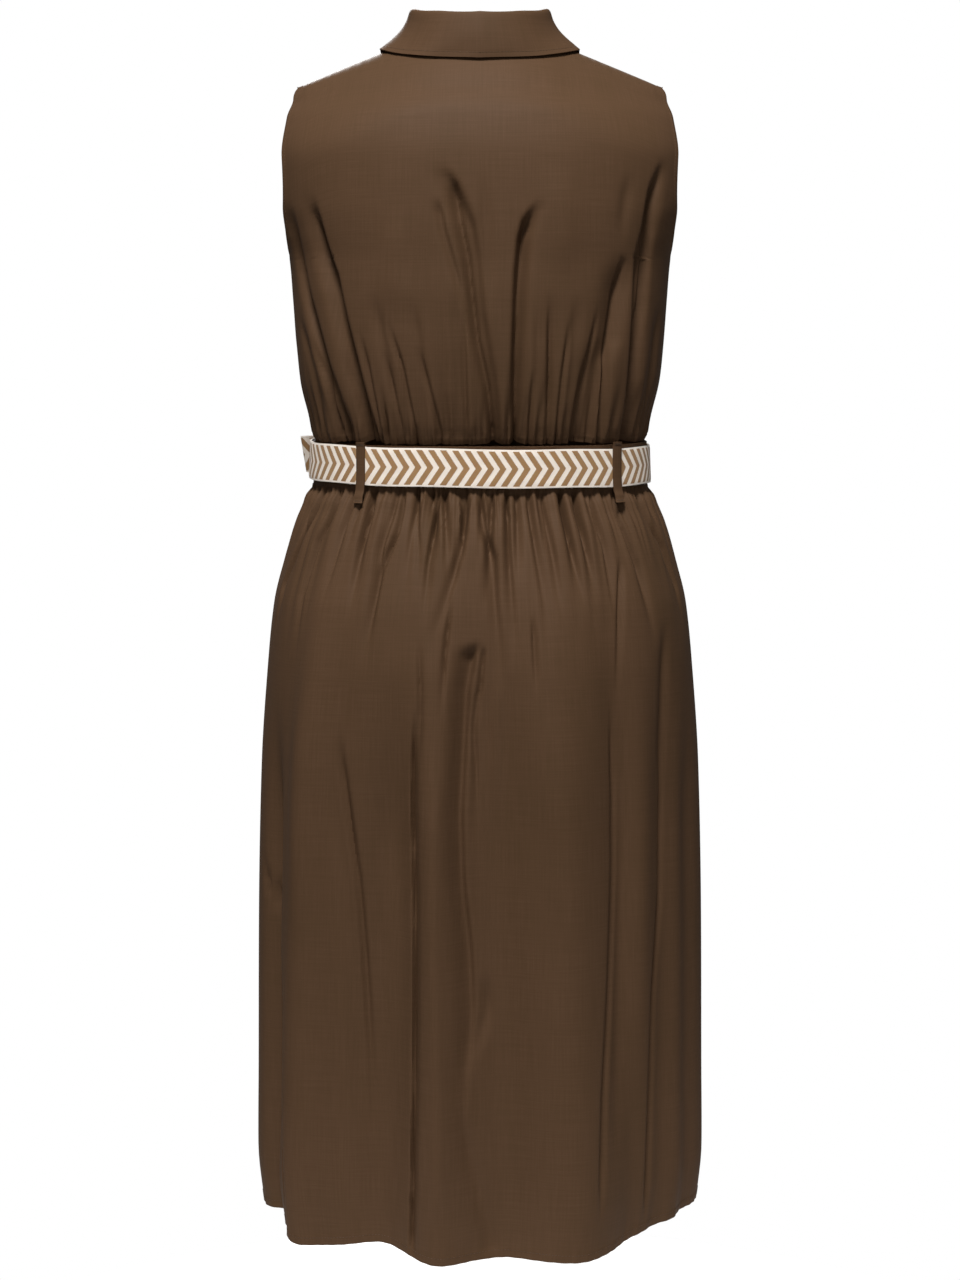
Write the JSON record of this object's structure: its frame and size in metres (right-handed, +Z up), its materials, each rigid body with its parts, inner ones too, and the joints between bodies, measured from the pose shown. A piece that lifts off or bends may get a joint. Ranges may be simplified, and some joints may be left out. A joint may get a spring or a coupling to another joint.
{
  "type": "sleeveless shirt dress",
  "caption": "Sleeveless midi shirt dress, filled out and hollow: turned-down collar, button front, gathered elastic waist and a woven tape belt tied in a half bow.",
  "frame": {"origin": "midway between the two points where the shoulder seams meet the collar, where the wearer's shoulders hold the dress", "axes": "+Z up, the front faces -Y, the wearer's left is +X"},
  "size_m": [0.4378, 0.3396, 1.1643],
  "materials": {
    "cloth": "dark brown viscose with a soft satin sheen",
    "tape": "matte cotton tape woven in tan and cream chevrons",
    "buttons": "dark brown, soft gloss"
  },
  "bodies": {
    "root": {"back_bodice": "cloth", "front_bodice_left": "cloth", "front_bodice_right": "cloth", "skirt_back": "cloth", "skirt_front_left": "cloth", "skirt_front_right": "cloth", "waist_casing": "cloth", "collar_stand": "cloth", "collar_fall": "cloth", "button_placket": "cloth", "belt_band": "tape", "belt_carrier_left": "cloth", "belt_carrier_right": "cloth", "belt_knot": "tape", "belt_bow_loop": "tape", "belt_tail_upper": "tape", "belt_tail_lower": "tape", "button_01": "buttons", "button_02": "buttons", "button_03": "buttons", "button_04": "buttons", "button_05": "buttons", "button_06": "buttons", "button_07": "buttons", "button_08": "buttons", "button_09": "buttons", "button_10": "buttons", "button_11": "buttons", "button_12": "buttons"}
  },
  "joints": []
}
